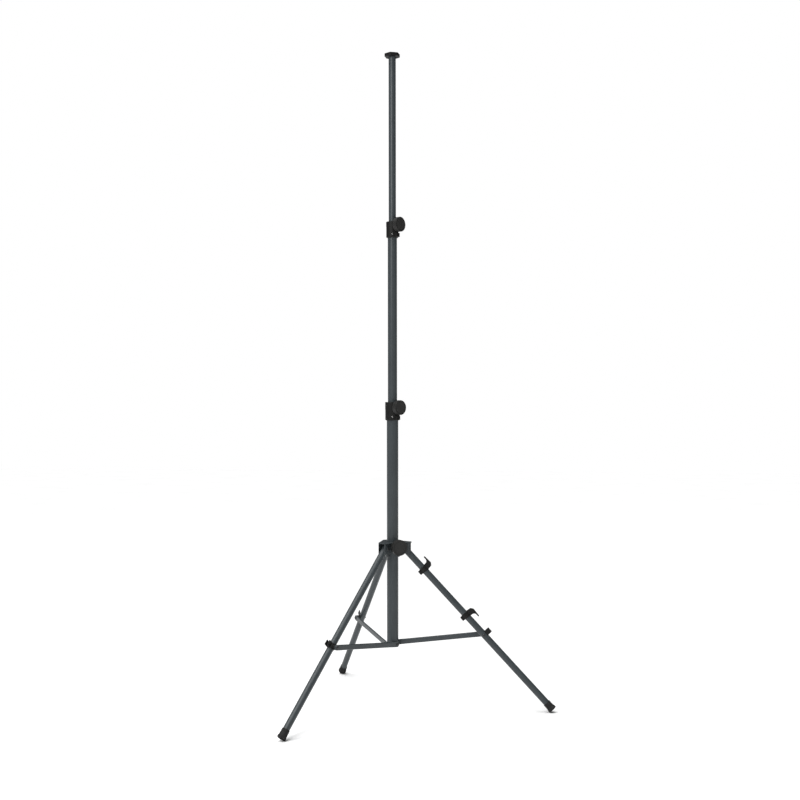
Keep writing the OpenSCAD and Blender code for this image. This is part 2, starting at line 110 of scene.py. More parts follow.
def mast_frame(z):
    """Z runs up the mast from height z in metres; X is the shared frame's own X."""
    x_axis = Vector((1, 0, 0))
    z_axis = Vector((0, 0, 1))
    return axes_matrix(x_axis, z_axis.cross(x_axis), z_axis, MAST + z_axis * z)


def radial_frame(direction, z):
    """Z points outwards from the mast axis in the given direction, at height z in metres."""
    z_axis = Vector(direction).normalized()
    x_axis = Vector((0, 0, -1))
    return axes_matrix(x_axis, z_axis.cross(x_axis), z_axis, MAST + Vector((0, 0, z)))


# ---------------------------------------------------------------------------
# Mesh building, in millimetres
# ---------------------------------------------------------------------------


def arc(cx, cy, r, start, end, count):
    """The points of an arc cut into count steps, angles in degrees."""
    angles = [math.radians(start + (end - start) * i / count) for i in range(count + 1)]
    return [(cx + r * math.cos(a), cy + r * math.sin(a)) for a in angles]


def turned(profile, closed=False, steps=RINGS):
    """A body of revolution about Z; profile is (radius, height) points."""
    bm = bmesh.new()
    loops = []
    for radius, height in profile:
        if radius < 1e-6:
            loops.append([bm.verts.new((0, 0, height))])
            continue
        turn = [2 * math.pi * i / steps for i in range(steps)]
        loops.append([bm.verts.new((radius * math.cos(a), radius * math.sin(a), height)) for a in turn])
    pairs = list(zip(loops, loops[1:]))
    if closed:
        pairs.append((loops[-1], loops[0]))
    for lower, upper in pairs:
        for i in range(steps):
            j = (i + 1) % steps
            near = [lower[i % len(lower)], lower[j % len(lower)]]
            far = [upper[j % len(upper)], upper[i % len(upper)]]
            corners = list(dict.fromkeys(near + far))
            if len(corners) > 2:
                bm.faces.new(corners)
    bmesh.ops.recalc_face_normals(bm, faces=bm.faces)
    return bm


def extruded(outline, height, bevel, segments=3):
    """An outline in XY, drawn up to height, with rounded top and bottom edges."""
    bm = bmesh.new()
    low = [bm.verts.new((x, y, 0)) for x, y in outline]
    high = [bm.verts.new((x, y, height)) for x, y in outline]
    bm.faces.new(low[::-1])
    bm.faces.new(high)
    for i in range(len(low)):
        j = (i + 1) % len(low)
        bm.faces.new((low[i], low[j], high[j], high[i]))
    bmesh.ops.recalc_face_normals(bm, faces=bm.faces)
    rim = [e for e in bm.edges if abs(e.verts[0].co.z - e.verts[1].co.z) < 1e-6]
    bmesh.ops.bevel(bm, geom=rim, offset=bevel, segments=segments, profile=0.5, affect="EDGES")
    return bm


def block(low, high, bevel):
    """A box between two corners, with all its edges rounded unless bevel is 0."""
    bm = bmesh.new()
    bmesh.ops.create_cube(bm, size=1)
    for vert in bm.verts:
        vert.co = Vector([(a + b) / 2 + v * (b - a) for a, b, v in zip(low, high, vert.co)])
    if bevel:
        bmesh.ops.bevel(bm, geom=bm.edges[:], offset=bevel, segments=3, profile=0.5, affect="EDGES")
    return bm


def moved(bm, *steps):
    """The mesh after each matrix in turn."""
    for step in steps:
        bmesh.ops.transform(bm, matrix=step, verts=bm.verts)
    return bm


def shift(x=0.0, y=0.0, z=0.0):
    """The matrix of a straight move."""
    return Matrix.Translation((x, y, z))


def turn(degrees, axis):
    """The matrix of a turn about X, Y or Z."""
    return Matrix.Rotation(math.radians(degrees), 4, axis)


def rod(r, start, end, bevel=0.0, steps=RINGS):
    """A cylinder along Z, with rounded ends unless bevel is 0."""
    if not bevel:
        return turned([(0, start), (r, start), (r, end), (0, end)], steps=steps)
    low = arc(r - bevel, start + bevel, bevel, -90, 0, 3)
    high = arc(r - bevel, end - bevel, bevel, 0, 90, 3)
    return turned([(0, start)] + low + high + [(0, end)], steps=steps)


def across(bm):
    """Lays a mesh made along Z along Y instead."""
    return moved(bm, turn(-90, "X"))


def as_object(bm, name="part"):
    """A new object in the scene that holds the mesh."""
    mesh = bpy.data.meshes.new(name)
    bm.to_mesh(mesh)
    bm.free()
    obj = bpy.data.objects.new(name, mesh)
    bpy.context.scene.collection.objects.link(obj)
    return obj


def combined(solids, cutters=()):
    """One closed mesh: the solids joined, less the cutters."""
    objects = [as_object(bm) for bm in solids]
    tools = [as_object(bm) for bm in cutters]
    target = objects[0]
    for other, operation in [(o, "UNION") for o in objects[1:]] + [(o, "DIFFERENCE") for o in tools]:
        modifier = target.modifiers.new("join", "BOOLEAN")
        modifier.solver = "EXACT"
        modifier.operation = operation
        modifier.object = other
    bpy.context.view_layer.update()
    evaluated = target.evaluated_get(bpy.context.evaluated_depsgraph_get())
    bm = bmesh.new()
    bm.from_mesh(evaluated.to_mesh())
    evaluated.to_mesh_clear()
    for obj in objects + tools:
        mesh = obj.data
        bpy.data.objects.remove(obj)
        bpy.data.meshes.remove(mesh)
    bmesh.ops.remove_doubles(bm, verts=bm.verts, dist=0.002)
    bmesh.ops.dissolve_degenerate(bm, edges=bm.edges, dist=0.002)
    return bm


def shade(mesh):
    """Smooth shading that breaks at sharp edges."""
    bm = bmesh.new()
    bm.from_mesh(mesh)
    for face in bm.faces:
        face.smooth = True
    for edge in bm.edges:
        edge.smooth = len(edge.link_faces) == 2 and edge.calc_face_angle(0) < SMOOTH_ANGLE
    bm.to_mesh(mesh)
    bm.free()


def piece(name, bm, place, body, material, nodes):
    """Finishes one visible piece: its place, shading, material, body and the nodes it stands for."""
    moved(bm, place)
    obj = as_object(bm, name)
    shade(obj.data)
    obj.data.materials.append(material)
    weighted = obj.modifiers.new("weighted normals", "WEIGHTED_NORMAL")
    weighted.keep_sharp = True
    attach(obj, body)
    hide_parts(*nodes)


# ---------------------------------------------------------------------------
# Materials
# ---------------------------------------------------------------------------


def new_material(name):
    """A material that holds only a shader and its output."""
    material = bpy.data.materials.new(name)
    material.use_nodes = True
    tree = material.node_tree
    tree.nodes.clear()
    output = tree.nodes.new("ShaderNodeOutputMaterial")
    shader = tree.nodes.new("ShaderNodeBsdfPrincipled")
    tree.links.new(shader.outputs["BSDF"], output.inputs["Surface"])
    return material, tree, shader


def noise(tree, scale, detail, stretch=(1, 1, 1)):
    """A noise pattern fixed to the piece, scale in features per metre."""
    place = tree.nodes.new("ShaderNodeTexCoord")
    mapping = tree.nodes.new("ShaderNodeMapping")
    mapping.inputs["Scale"].default_value = stretch
    pattern = tree.nodes.new("ShaderNodeTexNoise")
    pattern.inputs["Scale"].default_value = scale
    pattern.inputs["Detail"].default_value = detail
    tree.links.new(place.outputs["Object"], mapping.inputs["Vector"])
    tree.links.new(mapping.outputs["Vector"], pattern.inputs["Vector"])
    return pattern.outputs["Fac"]


def ramp(tree, source, stops):
    """Colours along a pattern; stops are (position, colour)."""
    node = tree.nodes.new("ShaderNodeValToRGB")
    elements = node.color_ramp.elements
    while len(elements) < len(stops):
        elements.new(0.5)
    for element, (position, colour) in zip(elements, stops):
        element.position = position
        element.color = (*colour, 1)
    tree.links.new(source, node.inputs["Fac"])
    return node.outputs["Color"]


def spread(tree, source, low, high):
    """Maps the middle of a noise pattern to a range of values."""
    node = tree.nodes.new("ShaderNodeMapRange")
    node.inputs["From Min"].default_value = 0.3
    node.inputs["From Max"].default_value = 0.7
    node.inputs["To Min"].default_value = low
    node.inputs["To Max"].default_value = high
    tree.links.new(source, node.inputs["Value"])
    return node.outputs["Result"]


def bump(tree, shader, source, strength, distance, under=None):
    """Relief from a pattern, laid over another relief if one is given."""
    node = tree.nodes.new("ShaderNodeBump")
    node.inputs["Strength"].default_value = strength
    node.inputs["Distance"].default_value = distance
    tree.links.new(source, node.inputs["Height"])
    if under:
        tree.links.new(under, node.inputs["Normal"])
    tree.links.new(node.outputs["Normal"], shader.inputs["Normal"])
    return node.outputs["Normal"]


def shades(colour, amount):
    """A colour made darker or lighter."""
    return tuple(c * amount for c in colour)


def powder_coat(name, colour):
    """Satin powder coat: faint mottling and a fine orange-peel skin."""
    material, tree, shader = new_material(name)
    mottle = noise(tree, 22, 3)
    tree.links.new(
        ramp(tree, mottle, [(0.3, shades(colour, 0.93)), (0.5, colour), (0.7, shades(colour, 1.08))]),
        shader.inputs["Base Color"],
    )
    tree.links.new(spread(tree, noise(tree, 160, 3), 0.31, 0.41), shader.inputs["Roughness"])
    peel = bump(tree, shader, noise(tree, 900, 2), 0.12, 0.0002)
    bump(tree, shader, noise(tree, 3200, 1), 0.10, 0.0001, under=peel)
    shader.inputs["Specular IOR Level"].default_value = 0.3
    return material


def moulded(name, colour, rough, grain=2600, depth=0.3, specular=0.24):
    """A satin surface with a fine grain, for moulded plastic and blackened steel."""
    material, tree, shader = new_material(name)
    cloud = noise(tree, 60, 4)
    tree.links.new(
        ramp(tree, cloud, [(0.3, shades(colour, 0.86)), (0.55, colour), (0.75, shades(colour, 1.2))]),
        shader.inputs["Base Color"],
    )
    wear = spread(tree, noise(tree, 420, 3), rough - 0.07, rough + 0.07)
    tree.links.new(wear, shader.inputs["Roughness"])
    bump(tree, shader, noise(tree, grain, 2), depth, 0.0001)
    shader.inputs["Specular IOR Level"].default_value = specular
    return material


def rubber(name, colour):
    """Matt rubber with a dusty bloom."""
    material, tree, shader = new_material(name)
    dust = noise(tree, 130, 5)
    tree.links.new(
        ramp(tree, dust, [(0.35, colour), (0.62, shades(colour, 1.5)), (0.8, shades(colour, 2.4))]),
        shader.inputs["Base Color"],
    )
    tree.links.new(spread(tree, noise(tree, 300, 3), 0.72, 0.92), shader.inputs["Roughness"])
    bump(tree, shader, noise(tree, 1500, 3), 0.4, 0.00015)
    shader.inputs["Specular IOR Level"].default_value = 0.25
    return material


def metal(name, colour, rough, stretch=(1, 1, 1)):
    """Machined metal with fine tool marks."""
    material, tree, shader = new_material(name)
    marks = noise(tree, 1400, 3, stretch)
    tree.links.new(
        ramp(tree, marks, [(0.3, shades(colour, 0.82)), (0.7, colour)]), shader.inputs["Base Color"]
    )
    wear = spread(tree, noise(tree, 500, 2), rough - 0.08, rough + 0.08)
    tree.links.new(wear, shader.inputs["Roughness"])
    bump(tree, shader, marks, 0.15, 0.0001)
    shader.inputs["Metallic"].default_value = 1.0
    return material


TUBE_COLOUR = (0.042, 0.050, 0.054)
BLACK_COLOUR = (0.0125, 0.0125, 0.012)

TUBE = powder_coat("tube powder coat", TUBE_COLOUR)
STRUT = powder_coat("strut powder coat", shades(TUBE_COLOUR, 1.02))
HUB = powder_coat("hub powder coat", shades(TUBE_COLOUR, 0.86))
BLACK = moulded("black moulding", shades(BLACK_COLOUR, 0.72), 0.50, specular=0.17)
KNOB = moulded("knob moulding", shades(BLACK_COLOUR, 1.35), 0.46, grain=1900, depth=0.2)
KNOB_FACE = moulded("knob face", shades(BLACK_COLOUR, 1.75), 0.55, grain=3000, depth=0.35)
RUBBER = rubber("foot rubber", (0.012, 0.012, 0.012))
BUSH = moulded("bush plastic", (0.22, 0.22, 0.215), 0.4)
BLACK_STEEL = moulded("blackened steel", (0.010, 0.010, 0.011), 0.36, grain=1200, depth=0.1, specular=0.6)
BRIGHT_STEEL = metal("plated steel", (0.46, 0.46, 0.45), 0.3)
BRASS = metal("turned brass", (0.70, 0.50, 0.22), 0.32, stretch=(1, 1, 0.1))
ALUMINIUM = metal("turned aluminium", (0.66, 0.66, 0.67), 0.38, stretch=(0.1, 0.1, 1))

SLOT_MATERIALS = {
    "tube_paint": TUBE,
    "strut_paint": STRUT,
    "hub_paint": HUB,
    "black_plastic": BLACK,
    "knob_plastic": KNOB,
    "foot_rubber": RUBBER,
    "bush_plastic": BUSH,
    "black_steel": BLACK_STEEL,
    "bright_steel": BRIGHT_STEEL,
    "brass": BRASS,
    "aluminium": ALUMINIUM,
}

for part in frame["record"]["subparts"]:
    node_mesh = frame["nodes"][part["node"]].data
    node_mesh.materials.clear()
    node_mesh.materials.append(SLOT_MATERIALS[part["material_slot"]])

# ---------------------------------------------------------------------------
# Camera, light and floor
# ---------------------------------------------------------------------------

CAMERA_DISTANCE = 3.583
CAMERA_HEIGHT = 0.906
CAMERA_AZIMUTH = -81.01
CAMERA_YAW = 0.367
CAMERA_ROLL = -0.055
CAMERA_LENS = 52.60
CAMERA_SHIFT = 0.0136
FLOOR_REACH = 14


def add_camera():
    """The camera at the viewing angle that the looks are judged from."""
    data = bpy.data.cameras.new("camera")
    data.lens = CAMERA_LENS
    data.sensor_width = 36
    data.shift_y = CAMERA_SHIFT
    camera = bpy.data.objects.new("camera", data)
    bpy.context.scene.collection.objects.link(camera)
    towards = math.radians(CAMERA_AZIMUTH)
    camera.location = MAST + Vector((math.cos(towards), math.sin(towards), 0)) * CAMERA_DISTANCE
    camera.location.z = CAMERA_HEIGHT
    facing = math.radians(CAMERA_AZIMUTH + 180 - CAMERA_YAW)
    rotation = Vector((math.cos(facing), math.sin(facing), 0)).to_track_quat("-Z", "Y").to_matrix()
    rotation @= Matrix.Rotation(math.radians(CAMERA_ROLL), 3, "Z")
    camera.rotation_euler = rotation.to_euler()
    data.clip_end = 50
    bpy.context.scene.camera = camera


def area_light(name, location, target, size, power):
    """A soft rectangular light aimed at a target."""
    data = bpy.data.lights.new(name, "AREA")
    data.shape = "RECTANGLE"
    data.size, data.size_y = size
    data.energy = power
    light = bpy.data.objects.new(name, data)
    bpy.context.scene.collection.objects.link(light)
    light.location = location
    light.rotation_euler = (Vector(target) - Vector(location)).to_track_quat("-Z", "Y").to_euler()
    light.visible_camera = False


def add_backdrop():
    """A white backdrop that lights the stand only faintly."""
    scene = bpy.context.scene
    scene.view_settings.view_transform = "Standard"
    world = bpy.data.worlds.new("studio")
    world.use_nodes = True
    scene.world = world
    tree = world.node_tree
    tree.nodes.clear()
    output = tree.nodes.new("ShaderNodeOutputWorld")
    seen = tree.nodes.new("ShaderNodeBackground")
    felt = tree.nodes.new("ShaderNodeBackground")
    mix = tree.nodes.new("ShaderNodeMixShader")
    path = tree.nodes.new("ShaderNodeLightPath")
    seen.inputs["Color"].default_value = (1, 1, 1, 1)
    felt.inputs["Color"].default_value = (0.07, 0.07, 0.07, 1)
    tree.links.new(path.outputs["Is Camera Ray"], mix.inputs["Fac"])
    tree.links.new(felt.outputs["Background"], mix.inputs[1])
    tree.links.new(seen.outputs["Background"], mix.inputs[2])
    tree.links.new(mix.outputs["Shader"], output.inputs["Surface"])


def add_lights():
    """One broad overhead light, two in front, and a small one for the front leg."""
    middle = MAST + Vector((0, 0, TOTAL_H * MM * 0.6))
    overhead = bpy.data.lights.new("overhead", "SUN")
    overhead.energy = 3.25
    overhead.angle = math.radians(70)
    lamp = bpy.data.objects.new("overhead", overhead)
    bpy.context.scene.collection.objects.link(lamp)
    lamp.rotation_euler = (math.radians(6), math.radians(-8), 0)
    area_light("front_left", MAST + Vector((-0.72, -2.5, 2.3)), middle, size=(0.9, 1.2), power=37)
    area_light("front_right", MAST + Vector((2.9, -2.6, 1.4)), middle, size=(1.2, 2.6), power=5)
    leg = MAST + Vector((-0.13, -0.225, 0.25))
    area_light("overhead_left", MAST + Vector((-1.74, -1.14, 3.22)), leg, size=(0.4, 0.4), power=13)


def pale_paper(name):
    """Matt paper, clouded a little."""
    material, tree, shader = new_material(name)
    paper = ramp(tree, noise(tree, 3, 2), [(0.3, (0.93, 0.93, 0.93)), (0.7, (0.96, 0.96, 0.96))])
    tree.links.new(paper, shader.inputs["Base Color"])
    shader.inputs["Roughness"].default_value = 0.9
    shader.inputs["Specular IOR Level"].default_value = 0.1
    return material


def add_floor():
    """A flat floor, many times wider than the stand."""
    bm = bmesh.new()
    corners = ((-1, -1), (1, -1), (1, 1), (-1, 1))
    bm.faces.new([bm.verts.new((x * FLOOR_REACH, y * FLOOR_REACH, 0)) for x, y in corners])
    floor = as_object(bm, "floor")
    floor.data.materials.append(pale_paper("pale floor"))


add_camera()
add_backdrop()
add_lights()
add_floor()

# ---------------------------------------------------------------------------
# Fittings on the mast
# ---------------------------------------------------------------------------

SOCKET_H = 18
COLLAR_WALL = 4.6
SHELL_STEP = 0.4
SHELL_SLOPE = 30
SHELL_MID = 26
SHELL_ROUND = 1.8
COLLAR_BOSS_W = 16
COLLAR_BOSS_RISE = (1.5, 14)
COLLAR_BOSS_REACH = 4.4
SCREW_AZIMUTHS = (-81, 9)
SCREW_RISE = 10.5
SCREW_SEAT = 2.2
KNOB_GAP = 0.5
NOSE_R = 7.5
NOSE_REACH = 2.4
INSERT_R = 6
SHOE_POCKET = (6.5, 6.2)
SHOE_REACH = 5.05
SEAM = 0.02
STUD_HOLE_R = 4.05
CAP_DISC_R = 17.5
FLUTES = 36
COLLAR_KNOB = {"r": 22.5, "thick": 14.6, "hollow": 3.2}
HUB_KNOB = {"r": 24, "thick": 16, "hollow": 0}


def together(*parts):
    """Several closed shells as one mesh."""
    bm = bmesh.new()
    for part in parts:
        mesh = bpy.data.meshes.new("part")
        part.to_mesh(mesh)
        part.free()
        bm.from_mesh(mesh)
        bpy.data.meshes.remove(mesh)
    return bm


def clamp_place(name):
    """Direction from the mast axis to a clamp screw, its azimuth in degrees and its height."""
    place = Vector(JOINTS[f"{name}_knob_turn"]["pos_m"])
    towards = Vector((place.x - MAST.x, place.y - MAST.y, 0)).normalized()
    return towards, math.degrees(math.atan2(towards.y, towards.x)), place.z


def sideways_at(bm, height, azimuth):
    """Lays a mesh made along Z outwards from the mast axis at a height and azimuth."""
    return moved(bm, turn(90, "Y"), shift(z=height), turn(azimuth, "Z"))


def slanted_shell(shell_r, height, azimuth):
    """The thicker upper skin of a collar, whose lower edge dips under the knob."""
    rim = arc(shell_r - SHELL_ROUND, height - SHELL_ROUND, SHELL_ROUND, 0, 90, 5)
    skin = turned([(0, 0), (shell_r, 0)] + rim + [(0, height)])
    below = block((-90, -90, -90), (90, 90, 0), 0)
    moved(below, turn(SHELL_SLOPE, "Y"), shift(z=SHELL_MID), turn(azimuth, "Z"))
    return combined([skin], [below])


def shoe_pocket(end, rise, azimuth):
    """The pocket that a clamp shoe slides in, from the mast axis out to its end."""
    half_h, half_w = SHOE_POCKET
    return sideways_at(block((-half_h, -half_w, 0), (half_h, half_w, end), 0), rise, azimuth)


def collar(name, body, fixed_r, moving_r):
    """A clamp collar: socket sleeve, slanted shell, knob boss with its slit, and screw bosses."""
    node = f"{name}_collar"
    low, _, size = size_of(node)
    height = size.z / MM
    _, azimuth, knob_z = clamp_place(name)
    rise = (knob_z - low.z) / MM
    sleeve_r = fixed_r + COLLAR_WALL
    shell_r = sleeve_r + SHELL_STEP
    nose_end = shell_r + KNOB_GAP + NOSE_REACH
    foot_rim = [(sleeve_r - 2.4, 0), (sleeve_r - 0.5, 1.6), (sleeve_r, 2.5)]
    sleeve = turned([(0, 0)] + foot_rim + [(sleeve_r, height - 2), (0, height - 2)])
    half = COLLAR_BOSS_W / 2
    boss_low, boss_high = COLLAR_BOSS_RISE
    boss = block((0, -half, boss_low), (shell_r + COLLAR_BOSS_REACH, half, boss_high), 1.0)
    moved(boss, turn(azimuth, "Z"))
    solids = [sleeve, slanted_shell(shell_r, height, azimuth), boss]
    solids.append(sideways_at(rod(NOSE_R, 0, nose_end), rise, azimuth))
    bore = [(0, -1), (moving_r + 0.3, -1), (moving_r + 0.3, height - 1)]
    bore += [(moving_r + 1.5, height + 1), (0, height + 1)]
    slit = block((shell_r - 1.2, -2.2, -1), (shell_r + 6, -1, 13.2), 0)
    cutters = [
        rod(fixed_r + SEAM, -1, SOCKET_H),
        turned(bore),
        moved(slit, turn(azimuth, "Z")),
        shoe_pocket(moving_r + SHOE_REACH, rise, azimuth),
        sideways_at(rod(INSERT_R, 0, nose_end + 1, steps=48), rise, azimuth),
    ]
    for screw in SCREW_AZIMUTHS:
        solids.append(sideways_at(rod(5.6, 0, shell_r - 0.2, 0.5, 48), SCREW_RISE, screw))
        cutters.append(sideways_at(rod(2, 0, shell_r + 2, steps=24), SCREW_RISE, screw))
        seat = rod(3.5, fixed_r + SCREW_SEAT, shell_r + 2, steps=36)
        cutters.append(sideways_at(seat, SCREW_RISE, screw))
    piece(node, combined(solids, cutters), mast_frame(low.z), body, BLACK, [node])
    screws = together(*(collar_screw(fixed_r, azimuth) for azimuth in SCREW_AZIMUTHS))
    screws_node = f"{node}_screws"
    piece(screws_node, screws, mast_frame(low.z), body, BRIGHT_STEEL, [screws_node])


def collar_screw(fixed_r, azimuth):
    """A pan-head screw with a cross recess, looking outwards from the mast."""
    seat = fixed_r + SCREW_SEAT
    profile = [(0, -3.6), (1.5, -3.6), (2, -3), (2, 0), (3, 0), (3, 0.9)]
    profile += [(2.75, 1.5), (2.1, 2), (1.1, 2.2), (0, 2.2)]
    head = turned(profile, steps=36)
    cross = [block((-a, -b, 1.0), (a, b, 3), 0) for a, b in ((0.4, 1.9), (1.9, 0.4))]
    return sideways_at(moved(combined([head], cross), shift(z=seat)), SCREW_RISE, azimuth)


def fluted(bm, r, low, high):
    """Shallow finger flutes round a rim between two heights."""
    for vert in bm.verts:
        radius = math.hypot(vert.co.x, vert.co.y)
        if radius > r - 0.3 and low <= vert.co.z <= high:
            angle = math.atan2(vert.co.y, vert.co.x)
            depth = 0.45 * (0.5 - 0.5 * math.cos(FLUTES * angle))
            vert.co.xy *= (radius - depth) / radius
    return bm


def clamp_knob(name, back, r, thick, hollow):
    """A round clamp knob with a fluted rim, and the disc let into its face."""
    towards, _, height = clamp_place(name)
    place = radial_frame(towards, height)
    body = f"{name}_clamp_knob"
    recess = thick - 1.2
    profile = [(0, thick - 3), (STUD_HOLE_R, thick - 3)]
    if hollow:
        profile += [(STUD_HOLE_R, hollow), (NOSE_R + 1, hollow), (NOSE_R + 1, 0)]
    else:
        profile += [(STUD_HOLE_R, 0)]
    profile += arc(r - 1, 1, 1, -90, 0, 3)
    profile += [(r, 2.2), (r, 2.6), (r, thick / 2), (r, thick - 2.8), (r, thick - 2.4)]
    profile += arc(r - 1.1, thick - 1.1, 1.1, 0, 90, 4)
    profile += [(CAP_DISC_R + 1.1, thick - 0.15), (CAP_DISC_R + 0.35, thick - 0.35)]
    profile += [(CAP_DISC_R + 0.25, recess), (0, recess)]
    knob = fluted(turned(profile, steps=FLUTES * 6), r, 2.4, thick - 2.6)
    moved(knob, shift(z=back))
    piece(f"{name}_knob", knob, place, body, KNOB, [f"{name}_knob"])
    face = [(0, 0), (CAP_DISC_R - 0.2, 0), (CAP_DISC_R, 0.2), (CAP_DISC_R, 1)]
    face += [(CAP_DISC_R - 0.25, 1.35), (CAP_DISC_R - 1, 1.5)]
    face += [(14.4, 1.55), (14.0, 1.38), (13.6, 1.38), (13.2, 1.52), (7, 1.58), (0, 1.6)]
    disc = moved(turned(face), shift(z=back + recess))
    piece(f"{name}_knob_cap", disc, place, body, KNOB_FACE, [f"{name}_knob_cap"])


def base_plug():
    """The dished plug in the lower end of the base tube."""
    profile = [(0, 1.6), (2.5, 1.6), (3, 1.1), (10.5, 1.1), (11.8, 0.2), (12.4, 0), (BASE_R - 0.8, 0)]
    profile += [(BASE_R, 0.8), (BASE_R, 2), (BASE_R - 1.55, 2), (BASE_R - 1.55, 4.6)]
    profile += [(BASE_R - 3, 5), (0, 5)]
    place = mast_frame(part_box("base_plug")[0].z)
    piece("base_plug", turned(profile), place, "base", BLACK, ["base_plug"])


def rounded_polygon(r, corner, sides, start):
    """A regular polygon with rounded corners; its flats face start, start + 360 / sides and so on."""
    step = 360 / sides
    outline = []
    for side in range(sides):
        middle = math.radians(start + (side + 0.5) * step)
        centre = ((r - corner) * math.cos(middle), (r - corner) * math.sin(middle))
        outline += arc(*centre, corner, start + side * step, start + (side + 1) * step, 5)
    return outline


CAP_R = 24
CAP_CORNER = 4
CAP_SIDES = 6
CAP_TURN = -6.5
HEAD_INSERT_R = 8
THREAD_PITCH = 1.5
THREAD_DEPTH = 21


def head_cap():
    """The six-sided cap on the mast, dished a little round its threaded insert."""
    low, _, size = size_of("head_cap")
    height = size.z / MM
    plate = extruded(rounded_polygon(CAP_R, CAP_CORNER, CAP_SIDES, CAP_TURN), height, 0.8)
    insert_hole = rod(HEAD_INSERT_R, -1, height + 1)
    dish = turned([(0, height - 0.5), (10.6, height - 0.5), (11.2, height + 0.1), (0, height + 0.1)])
    groove = [(TOP_R + 0.1, -1), (TOP_R + 2.6, -1), (TOP_R + 2.2, 0.5), (TOP_R + 0.1, 0.5)]
    cap = combined([plate], [insert_hole, dish, turned(groove, closed=True)])
    piece("head_cap", cap, mast_frame(low.z), "top", BLACK, ["head_cap"])


def head_insert():
    """The brass insert, its thread made as a stack of grooves."""
    low, _, size = size_of("head_insert")
    length = size.z / MM
    rim = HEAD_INSERT_R - SEAM
    minor, major = 4.25, 4.95
    profile = [(0, 0), (rim, 0), (rim, length - 0.4), (HEAD_INSERT_R - 0.4, length)]
    profile += [(major + 0.5, length), (major, length - 0.5)]
    for i in range(int(THREAD_DEPTH / THREAD_PITCH)):
        top = length - 0.5 - i * THREAD_PITCH
        profile += [(minor, top - THREAD_PITCH * 0.5), (major, top - THREAD_PITCH)]
    profile += [(minor, length - THREAD_DEPTH - 1), (0, length - THREAD_DEPTH - 1)]
    insert = turned(profile, steps=48)
    piece("head_insert", insert, mast_frame(low.z), "top", BRASS, ["head_insert"])


# ---------------------------------------------------------------------------
# Hub
# ---------------------------------------------------------------------------

HUB_IN_R = 19
HUB_OUT_R = 22.5
HUB_ROOF = 3
ARM_W = 27
ARM_WALL = 2.8
ARM_END = 58
ARM_CORNER = 10
ARM_DROP = 14.6
ARM_PIVOT_OUT = 37
PIVOT_BOLT_R = 3
HUB_BOSS = (41, 20, 24)


def arm_outline():
    """Outline of one arm from the mast axis out, its end corners rounded."""
    corner = ARM_W / 2 - ARM_CORNER
    outline = [(0, -ARM_W / 2)]
    outline += arc(ARM_END - ARM_CORNER, -corner, ARM_CORNER, -90, 0, 8)
    outline += arc(ARM_END - ARM_CORNER, corner, ARM_CORNER, 0, 90, 8)
    return outline + [(0, ARM_W / 2)]


def roof_outline():
    """Outline round all three arms, straight from one to the next."""
    corner = ARM_W / 2 - ARM_CORNER
    outline = []
    for azimuth in (0, 120, 240):
        spin = Matrix.Rotation(math.radians(azimuth), 2)
        bend = arc(ARM_END - ARM_CORNER, -corner, ARM_CORNER, -60, 0, 6)
        bend += arc(ARM_END - ARM_CORNER, corner, ARM_CORNER, 0, 60, 6)
        outline += [tuple(spin @ Vector(point)) for point in bend]
    return outline


def hub():
    """The sliding hub: a sleeve with a roofed fork for each leg and a boss for the clamp knob."""
    low, _, size = size_of("hub_body")
    top = size.z / MM
    pivot = (JOINTS["leg_right_fold"]["pos_m"][2] - low.z) / MM
    arm_low = pivot - ARM_DROP
    sleeve = turned([(0, 0), (HUB_OUT_R - 1, 0), (HUB_OUT_R, 1), (HUB_OUT_R, top - 1), (0, top - 1)])
    roof = moved(extruded(roof_outline(), HUB_ROOF, 0.7), shift(z=top - HUB_ROOF))
    solids = [sleeve, roof]
    gap = ARM_W / 2 - ARM_WALL
    for side in SIDES:
        _, sideways = side_axes(JOINTS[f"leg_{side}_fold"])
        azimuth = math.degrees(math.atan2(sideways.y, sideways.x)) - 90
        fork = moved(extruded(arm_outline(), top - arm_low, 0.7), shift(z=arm_low))
        slot = block((0, -gap, arm_low - 1), (ARM_END + 1, gap, top - HUB_ROOF), 0)
        hole = across(rod(PIVOT_BOLT_R, -ARM_W, ARM_W, steps=24))
        moved(hole, shift(x=ARM_PIVOT_OUT, z=pivot))
        solids.append(moved(combined([fork], [slot, hole]), turn(azimuth, "Z")))
    _, azimuth, knob_z = clamp_place("hub")
    rise = (knob_z - low.z) / MM
    boss_end, boss_w, boss_h = HUB_BOSS
    boss = block((10, -boss_w / 2, rise - boss_h / 2), (boss_end, boss_w / 2, rise + boss_h / 2), 1.4)
    solids.append(moved(boss, turn(azimuth, "Z")))
    cutters = [
        rod(HUB_IN_R, -1, top + 1),
        shoe_pocket(BASE_R + SHOE_REACH, rise, azimuth),
        sideways_at(rod(INSERT_R, 0, boss_end + 1, steps=48), rise, azimuth),
    ]
    piece("hub_body", combined(solids, cutters), mast_frame(low.z), "hub", HUB, ["hub_body"])


# ---------------------------------------------------------------------------
# Bolts
# ---------------------------------------------------------------------------

STRUT_BOLT_R = 2.95


def side_frame(joint_name):
    """X points outwards from the mast, Y along the hinge and Z up, from the hinge's middle."""
    joint = JOINTS[joint_name]
    outward, sideways = side_axes(joint)
    return axes_matrix(outward, sideways, Vector((0, 0, 1)), Vector(joint["pos_m"]))


def button_head(seat, r, height):
    """A domed head with a hexagonal socket, looking along Z from its seat."""
    dome = [(r, seat), (r, seat + height * 0.2), (r * 0.93, seat + height * 0.48)]
    dome += [(r * 0.78, seat + height * 0.76), (r * 0.55, seat + height * 0.95), (r * 0.4, seat + height)]
    head = turned([(0, seat)] + dome + [(0, seat + height)], steps=36)
    socket = turned([(0, 0), (r * 0.34, 0), (r * 0.34, height), (0, height)], steps=6)
    return combined([head], [moved(socket, shift(z=seat + height * 0.5))])


